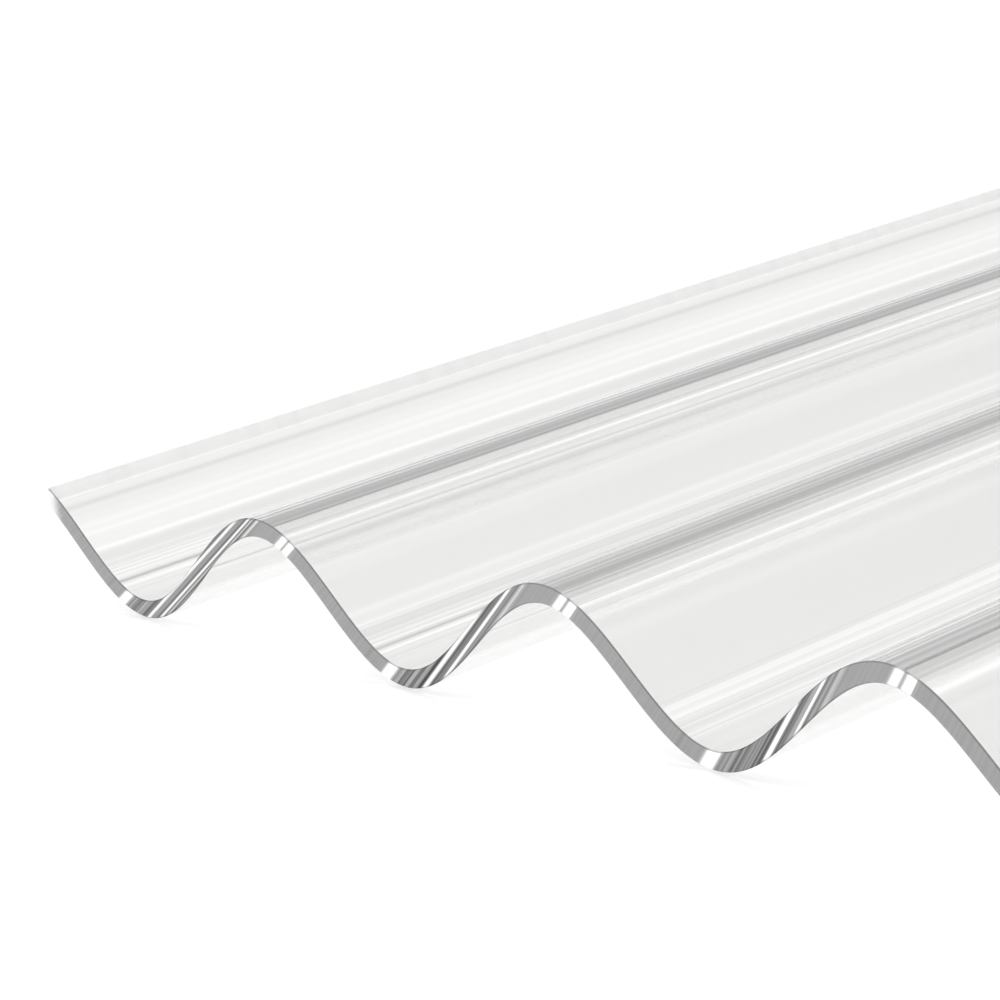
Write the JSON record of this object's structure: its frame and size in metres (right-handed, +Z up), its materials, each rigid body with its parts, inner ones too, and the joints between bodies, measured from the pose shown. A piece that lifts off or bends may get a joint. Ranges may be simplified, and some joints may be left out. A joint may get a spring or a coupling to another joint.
{
  "type": "translucent roofing sheet",
  "caption": "Clear corrugated roofing sheet with a sine-wave section and square-cut ends, to let daylight through a roof while shedding rain.",
  "frame": {"origin": "middle of the sheet's footprint, on the plane its troughs rest on", "axes": "+X across the waves, +Y along the waves from the lower end to the upper end, +Z up"},
  "size_m": [0.66, 2.438, 0.0232],
  "materials": {
    "clear_plastic": "clear, glossy"
  },
  "bodies": {
    "root": {"roofing_sheet": "clear_plastic"}
  },
  "joints": []
}
